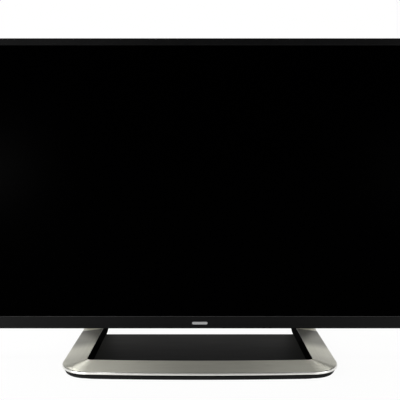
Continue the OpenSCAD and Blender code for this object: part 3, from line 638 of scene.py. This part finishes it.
def trim_length(face):
    """The length of trim that a face belongs to, and the point in plan that its lines run round."""
    middle = face.calc_center_median()
    side = "left" if middle.x < 0 else "right"
    if middle.y >= TRIM_CORNER_Y:
        return f"trim_leg_{side}", (math.copysign(FAR, middle.x), 0)
    if abs(middle.x) >= TRIM_CORNER_X:
        return f"trim_corner_{side}", (math.copysign(TRIM_CORNER_X, middle.x), TRIM_CORNER_Y)
    return "trim_front", (0, trim_low.y + BOW_R)


def on_lip(face):
    """True for the faces of the ribbon's outer rim."""
    inward = TRIM_CORNER_R - past_corner(face.calc_center_median()).length
    return inward < TRIM_LIP and face.normal.z < LEVEL_FACE


def lift_rim(whole):
    """Makes the ribbon's lower rim shallower in front."""
    for vertex in whole.verts:
        if vertex.co.z < trim_low.z + SLACK and vertex.co.y < TRIM_RIM_LIFT_END_Y:
            vertex.co.z += TRIM_RIM_LIFT


def copy_faces(made, faces):
    copied = {}
    for face in faces:
        for vertex in face.verts:
            if vertex not in copied:
                copied[vertex] = made.verts.new(vertex.co)
        made.faces.new([copied[vertex] for vertex in face.verts]).smooth = True


def close_ends(made):
    """Closes a length of trim, marks the edges that are to be rounded, and counts its ends."""
    seams = [edge for edge in made.edges if edge.is_boundary]
    ends = set(bmesh.ops.holes_fill(made, edges=seams)["faces"])
    weight = made.edges.layers.float.new("bevel_weight_edge")
    for edge in made.edges:
        if ends.intersection(edge.link_faces):
            edge.smooth = False
        elif edge.calc_face_angle(0) > ROUNDED_ANGLE:
            edge[weight] = 1.0
    return len(ends)


def brush_round(mesh, centre):
    """Puts the middle of a mesh's texture space where its brushed lines run round."""
    mesh.use_auto_texspace = False
    mesh.texspace_location = (*centre, 0)
    mesh.texspace_size = (1, 1, 1)


def make_trim():
    whole = bmesh.new()
    copy_node(whole, "stand_trim")
    lift_rim(whole)
    lengths = {}
    for face in whole.faces:
        lengths.setdefault(trim_length(face), []).append(face)
    for (name, centre), faces in sorted(lengths.items()):
        made = bmesh.new()
        copy_faces(made, faces)
        ends = close_ends(made)
        mesh = to_mesh(name, made)
        brush_round(mesh, centre)
        piece = add_piece(name, mesh, "brushed_metal", BODY)
        mesh.materials.append(FINISHES["polished_lip"])
        mesh.polygons.foreach_set("material_index", [int(on_lip(face)) for face in faces] + [0] * ends)
        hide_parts("stand_trim")
        round_edges(piece, TRIM_ROUNDING).limit_method = "WEIGHT"
    whole.free()


# The dark panel and the foot of the base


def carry_back(made):
    """Moves the rear edge of the panel or the foot back."""
    for vertex in made.verts:
        if vertex.co.y > plate_high.y - SLACK:
            vertex.co.y += PANEL_REACH


def lengthen_panel(made):
    copy_node(made, "base_plate")
    carry_back(made)


def widen_foot(made):
    """The foot, with its outer wall carried out under the ribbon's corners and arms."""
    copy_node(made, "base_foot")
    carry_back(made)
    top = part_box("base_foot")[1].z - SLACK
    wall = set()
    for face in made.faces:
        if abs(face.normal.z) < UPRIGHT_FACE and max(vertex.co.z for vertex in face.verts) > top:
            wall.update(face.verts)
    for vertex in wall:
        past = past_corner(vertex.co)
        inside = TRIM_CORNER_R - past.length
        if past.x != 0 and inside < FOOT_WALL_REACH:
            way = past.normalized()
            front, side = way.y ** 2, way.x ** 2
            inset = FOOT_INSET_FRONT * front + FOOT_INSET_SIDE * side
            share = 1.0 if vertex.co.z > top else front + FOOT_BOTTOM_SHARE_SIDE * side
            vertex.co.xy = vertex.co.xy + way * (inside - inset) * share


def make_base():
    foot = make_piece("foot_rim", "foot_black", widen_foot)
    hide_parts("base_foot")
    round_edges(foot, FOOT_ROUNDING)
    panel = make_piece("base_panel", "smoked_plate", lengthen_panel)
    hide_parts("base_plate")
    round_edges(panel, PANEL_ROUNDING)


# Signs on the keys, in millimetres right and up as seen from behind

MARK_HALF_WIDTH = 0.32
MARK_RISE = 0.14
MARK_SINK = 0.05
MARK_SLOPE = 0.08
MARK_REACH = 1.9
MARK_GAP = 0.01
TIGHTEST_MITRE = 0.4


def arc(radius, start, stop, steps=28):
    turns = [math.radians(start + (stop - start) * k / steps) for k in range(steps + 1)]
    return [(radius * math.cos(turn), radius * math.sin(turn)) for turn in turns]


def ring(radius, count):
    """A closed line: its last point is its first."""
    points = arc(radius, 0, 360 - 360 / count, count - 1)
    return points + points[:1]


def bar(height):
    return [(-MARK_REACH, height), (MARK_REACH, height)]


def chevron(way):
    return [(-MARK_REACH, -0.8 * way), (0, 1.0 * way), (MARK_REACH, -0.8 * way)]


KEY_MARKS = {
    "key_power": [arc(1.8, 125, 415), [(0, 0.5), (0, 2.3)]],
    "key_input": [
        [(-0.5, 1.6), (2.1, 1.6), (2.1, -1.6), (-0.5, -1.6)],
        [(-2.5, 0), (0.8, 0)],
        [(-0.3, 1.0), (0.8, 0), (-0.3, -1.0)],
    ],
    "key_menu": [bar(-1.3), bar(0), bar(1.3)],
    "key_ok": [ring(1.7, 36), ring(0.45, 12)],
    "key_volume_up": [
        bar(0),
        [(0, MARK_HALF_WIDTH + MARK_GAP), (0, MARK_REACH)],
        [(0, -MARK_HALF_WIDTH - MARK_GAP), (0, -MARK_REACH)],
    ],
    "key_volume_down": [bar(0)],
    "key_channel_up": [chevron(1)],
    "key_channel_down": [chevron(-1)],
}


def skin(made, rows, closed=False):
    """Joins rows of corners by strips of faces, with a face at each end unless the rows close."""
    for row, after in zip(rows, rows[1:] + (rows[:1] if closed else [])):
        for k in range(len(row)):
            made.faces.new((row[k - 1], row[k], after[k], after[k - 1]))
    if not closed:
        made.faces.new(rows[0])
        made.faces.new(rows[-1])


def raised_line(made, face, points):
    """A raised line on a key's face, with sloped sides and mitred bends."""
    closed = points[0] == points[-1]
    points = [Vector(point) for point in (points[:-1] if closed else points)]
    inner = MARK_HALF_WIDTH - MARK_SLOPE
    section = [
        (MARK_HALF_WIDTH, -MARK_SINK),
        (inner, MARK_RISE),
        (-inner, MARK_RISE),
        (-MARK_HALF_WIDTH, -MARK_SINK),
    ]
    rows = []
    for k, point in enumerate(points):
        ways = []
        if closed or k > 0:
            ways.append((point - points[k - 1]).normalized())
        if closed or k + 1 < len(points):
            ways.append((points[(k + 1) % len(points)] - point).normalized())
        across = left_of(sum(ways, Vector((0, 0))).normalized())
        spread = 1 / max(TIGHTEST_MITRE, across.dot(left_of(ways[0])))
        row = []
        for reach, lift in section:
            at = point + across * reach * spread
            row.append(made.verts.new((face.x - at.x * MM, face.y + lift * MM, face.z + at.y * MM)))
        rows.append(row)
    skin(made, rows, closed)


def mark_keys():
    for key, lines in KEY_MARKS.items():
        low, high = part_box(key)
        middle = middle_of(low, high)
        face = Vector((middle.x, high.y, middle.z))

        def build(made):
            for points in lines:
                raised_line(made, face, points)

        make_piece(f"{key}_mark", "white_ink", build, key.removeprefix("key_") + "_key")


# Collars, insulators and thread of the round sockets, as outlines of reach and radius in millimetres

JACK_COLOURS = ("yellow", "white", "red")
JACK_AXIS_INSET = 6 * MM
JACK_PITCH = 16 * MM
COLLAR = [(0, 4.3), (0, 6.3), (0.9, 6.3), (1.3, 6.1), (1.5, 5.7), (1.5, 4.3)]
JACK_INSULATOR = [(-1.0, 1.7), (0.1, 1.7), (0.16, 1.9), (0.16, 2.9), (0.0, 3.1), (-1.0, 3.1)]
ANTENNA_INSULATOR = [(-4, 0.8), (4.6, 0.8), (4.8, 1.0), (4.8, 2.9), (4.6, 3.15), (-4, 3.15)]
ANTENNA_CONTACT = [(-4, 0.45), (5.2, 0.45), (5.4, 0.55), (5.4, 0.7), (5.2, 0.8), (-4, 0.8)]
THREAD_PITCH = 0.8
THREAD_COUNT = 7
THREAD_START = 0.8
THREAD_LEAD = 0.2
THREAD_BORE_R = 4.7
THREAD_ROOT_R = 4.82
THREAD_CREST_R = 5.1


def thread_outline():
    stop = THREAD_START + THREAD_COUNT * THREAD_PITCH
    outline = [(THREAD_START - THREAD_LEAD, THREAD_BORE_R)]
    for k in range(THREAD_COUNT):
        outline.append((THREAD_START + k * THREAD_PITCH, THREAD_ROOT_R))
        outline.append((THREAD_START + (k + 0.5) * THREAD_PITCH, THREAD_CREST_R))
    return outline + [(stop, THREAD_ROOT_R), (stop, THREAD_BORE_R)]


def turned(made, x, axis, outline, sides=48):
    """Turns a closed outline of reach and radius round an axis along X."""
    rings = []
    for step in range(sides):
        angle = 2 * math.pi * step / sides
        row = []
        for reach, radius in outline:
            y = axis.y + radius * MM * math.cos(angle)
            z = axis.z + radius * MM * math.sin(angle)
            row.append(made.verts.new((x + reach * MM, y, z)))
        rings.append(row)
    skin(made, rings, closed=True)


def turned_piece(name, finish_name, x, axis, outline):
    make_piece(name, finish_name, lambda made: turned(made, x, axis, outline))


def dress_round_sockets():
    low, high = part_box("av_jacks")
    axis_y = high.y - JACK_AXIS_INSET
    middle_z = middle_of(low, high).z
    for k, colour in enumerate(JACK_COLOURS):
        axis = Vector((0, axis_y, middle_z + (1 - k) * JACK_PITCH))
        turned_piece(f"jack_collar_{colour}", f"jack_{colour}", cover_wall, axis, COLLAR)
        turned_piece(
            f"jack_insulator_{colour}", "jack_white", high.x, axis, JACK_INSULATOR
        )
    axis = Vector((0, axis_y, middle_of(*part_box("antenna_socket")).z))
    for name, finish_name, slot, outline in (
        ("antenna_thread", "socket_metal", "socket_metal", thread_outline()),
        ("antenna_insulator", "jack_white", "frame_plastic", ANTENNA_INSULATOR),
        ("antenna_contact", "contact_gold", "jack_brass", ANTENNA_CONTACT),
    ):
        turned_piece(name, finish_name, cover_wall, axis, outline)


# Gold contacts in the square sockets, in millimetres from a socket's mouth, its lower face and its middle

CONTACT_EDGE = 0.08 * MM
VIDEO_SOCKETS = {
    "node": "hdmi_sockets", "first": 7.6, "pitch": 22, "count": 3, "reach": (-10.0, -2.6),
    "rows": [
        ((3.86, 4.0), [k - 4.5 for k in range(10)], 0.5),
        ((2.8, 2.94), [k - 4.0 for k in range(9)], 0.5),
    ],
}
DATA_SOCKETS = {
    "node": "usb_sockets", "first": 7.2, "pitch": 18, "count": 2, "reach": (-11.0, -3.6),
    "rows": [((3.36, 3.52), [-3.5, -1.0, 1.0, 3.5], 1.0)],
}
NETWORK_COUNT = 8
NETWORK_PITCH = 1.05
NETWORK_HALF = 0.2
NETWORK_BENDS = [(-12.3, 5.4), (-11.0, 5.2), (-4.2, 2.1), (-3.2, 1.5), (-3.0, 1.1)]


def slip(made, low, high):
    """A thin bar between two corners with its long upper edges taken off."""
    x0, y0, z0 = low
    x1, y1, z1 = high
    shy = y1 - CONTACT_EDGE
    section = [(y0, z0), (y0, z1), (shy, z1), (y1, z1 - CONTACT_EDGE), (y1, z0 + CONTACT_EDGE), (shy, z0)]
    skin(made, [[made.verts.new((x, y, z)) for y, z in section] for x in (x0, x1)])


def tongue_contacts(made, node, first, pitch, count, reach, rows):
    """Strips on the tongue of each socket. A row is its two heights, its places and a strip's width."""
    low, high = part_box(node)
    x0, x1 = [high.x + end * MM for end in reach]
    for socket in range(count):
        middle = low.z + (first + socket * pitch) * MM
        for (y0, y1), places, width in rows:
            for place in places:
                z = middle + place * MM
                half = width / 2 * MM
                slip(made, (x0, low.y + y0 * MM, z - half), (x1, low.y + y1 * MM, z + half))


def spring(made, z, points):
    """A bent contact wire of square section, at one height. Points are x and y."""
    half = NETWORK_HALF * MM
    last = len(points) - 1
    rows = []
    for k, point in enumerate(points):
        along = points[min(k + 1, last)] - points[max(k - 1, 0)]
        across = left_of(along.normalized()) * half
        corners = [(point + across, -1), (point + across, 1), (point - across, 1), (point - across, -1)]
        rows.append([made.verts.new((at.x, at.y, z + side * half)) for at, side in corners])
    skin(made, rows)


def network_contacts(made):
    low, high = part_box("lan_socket")
    middle_z = middle_of(low, high).z
    points = [Vector((high.x + reach * MM, low.y + height * MM)) for reach, height in NETWORK_BENDS]
    for k in range(NETWORK_COUNT):
        spring(made, middle_z + (k - (NETWORK_COUNT - 1) / 2) * NETWORK_PITCH * MM, points)


def dress_square_sockets():
    builds = {
        "hdmi_contacts": lambda made: tongue_contacts(made, **VIDEO_SOCKETS),
        "usb_contacts": lambda made: tongue_contacts(made, **DATA_SOCKETS),
        "lan_contacts": network_contacts,
    }
    for name, build in builds.items():
        make_piece(name, "contact_gold", build)


# Studio

FLOOR_SIZE = 14.0
FLOOR_GREY = 0.86
FLOOR_GLOW = 0.95
WHITE = (1, 1, 1, 1)

# The room as metal mirrors it, low and high, and the light that all else takes from it
ROOM_BEHIND_LOW = 0.36
ROOM_BEHIND_WINGS = 0.86
ROOM_BEHIND_HIGH = 0.43
ROOM_BESIDE_LOW = 0.49
ROOM_BESIDE_HIGH = 0.34
ROOM_BEFORE_HIGH = 0.27
AMBIENT = 0.38

# Lamps at both sides: the right one's place and target, the size in metres, and watts left and right
PAIRED_LAMPS = {
    "side": ((1.8, -0.12, 1.5), (0.2, -0.1, 0), (0.5, 0.5), (13.5, 6.2)),
    "far": ((1.3, -0.15, 1.9), (0.2, -0.1, 0), (0.5, 0.5), (3.0, 1.7)),
    "top": ((0.75, -0.2, 2.0), (0.1, -0.1, 0), (0.6, 0.6), (3.0, 1.8)),
    "mid": ((1.6, 0.25, 0.9), (0.22, -0.1, 0), (0.5, 0.5), (8.0, 5.2)),
    "low": ((1.15, -1.9, 0.3), (0.4, -0.04, 0.1), (0.5, 0.3), (11.0, 3.2)),
    "strip": ((0.95, -0.65, 0.12), (0.42, -0.045, 0.09), (0.3, 0.2), (2.6, 1.2)),
    "back": ((1.1, 0.65, 0.4), (0.23, -0.12, 0.02), (0.5, 0.5), (0.25, 0.25)),
}
REAR_LAMP = ((0.0, 2.2, 2.6), (0, 0, 0.4), (2.4, 1.4), 30.0)


def make_camera():
    data = bpy.data.cameras.new("photo_camera")
    camera = link(bpy.data.objects.new("photo_camera", data))
    data.sensor_width = SENSOR_MM
    data.lens = FOCAL_PX / PHOTO_PX * SENSOR_MM
    data.shift_x = -CENTRE_RIGHT_PX / PHOTO_PX
    data.shift_y = -PRINCIPAL_UP_PX / PHOTO_PX
    camera.location = (0, bezel_low.y - CAMERA_DISTANCE, CAMERA_HEIGHT)
    camera.rotation_euler = (math.radians(90) - CAMERA_PITCH, 0, 0)
    bpy.context.scene.camera = camera


def softbox(name, place, target, size, power):
    data = bpy.data.lights.new(name, "AREA")
    data.shape = "RECTANGLE"
    data.size, data.size_y = size
    data.energy = power
    lamp = link(bpy.data.objects.new(name, data))
    lamp.location = place
    lamp.rotation_euler = (Vector(target) - Vector(place)).to_track_quat("-Z", "Y").to_euler()


def make_lights():
    for name, (place, target, size, powers) in PAIRED_LAMPS.items():
        for side, way, power in (("left", -1, powers[0]), ("right", 1, powers[1])):
            mirrored = [(way * x, y, z) for x, y, z in (place, target)]
            softbox(f"{name}_{side}", *mirrored, size, power)
    softbox("rear_top", *REAR_LAMP)


def studio_world():
    """White to the camera. Metal mirrors a room that is palest behind the set and darkest before it."""
    world = bpy.data.worlds.new("studio")
    bpy.context.scene.world = world
    world.use_nodes = True
    graph = Graph(world.node_tree)
    x, y, z = graph.parts(graph.node("ShaderNodeTexCoord", out="Generated"))
    wide = abs(x).ramp(0.08, 0.35)
    behind = y.ramp(0.0, 0.6)
    before = (0.0 - y).ramp(0.0, 0.6)
    beside = 1.0 - behind - before
    high = z.ramp(0.1, 0.5)
    low = 1.0 - high
    behind_level = low * (wide * ROOM_BEHIND_WINGS + ROOM_BEHIND_LOW) + high * ROOM_BEHIND_HIGH
    beside_level = low * ROOM_BESIDE_LOW + high * ROOM_BESIDE_HIGH
    room = behind * behind_level + beside * beside_level + before * high * ROOM_BEFORE_HIGH
    camera = graph.ray("Camera")
    mirrored = (graph.ray("Glossy") + graph.ray("Transmission")).at_most(1.0)
    level = camera + (1.0 - camera) * (mirrored * room + (1.0 - mirrored) * AMBIENT)
    glow = graph.node("ShaderNodeBackground", None, {"Color": WHITE, "Strength": level})
    graph.node("ShaderNodeOutputWorld", None, {"Surface": glow})


def white_floor():
    """White where it is seen or mirrored, and matt to the light, so that it keeps the set's shadow."""
    material = bpy.data.materials.new("white_floor")
    material.use_nodes = True
    graph = Graph(material.node_tree)
    seen = (graph.ray("Camera") + graph.ray("Glossy") + graph.ray("Transmission")).at_most(1.0)
    matt = graph.node("ShaderNodeBsdfDiffuse", None, {"Color": grey(FLOOR_GREY)})
    glow = graph.node("ShaderNodeEmission", None, {"Color": WHITE, "Strength": 1.0})
    surface = graph.node("ShaderNodeMixShader", None, {0: seen * FLOOR_GLOW, 1: matt, 2: glow})
    graph.node("ShaderNodeOutputMaterial", None, {"Surface": surface})
    return material


def studio_floor():
    half = FLOOR_SIZE / 2
    corners = [(-half, -half, 0), (half, -half, 0), (half, half, 0), (-half, half, 0)]
    mesh = bpy.data.meshes.new("studio_floor")
    mesh.from_pydata(corners, [], [(0, 1, 2, 3)])
    mesh.materials.append(white_floor())
    link(bpy.data.objects.new("studio_floor", mesh))


bpy.context.scene.view_settings.view_transform = "Standard"
make_camera()
studio_world()
studio_floor()
make_lights()
paint_nodes()
round_nodes()
make_trim()
make_base()
mark_keys()
dress_round_sockets()
dress_square_sockets()
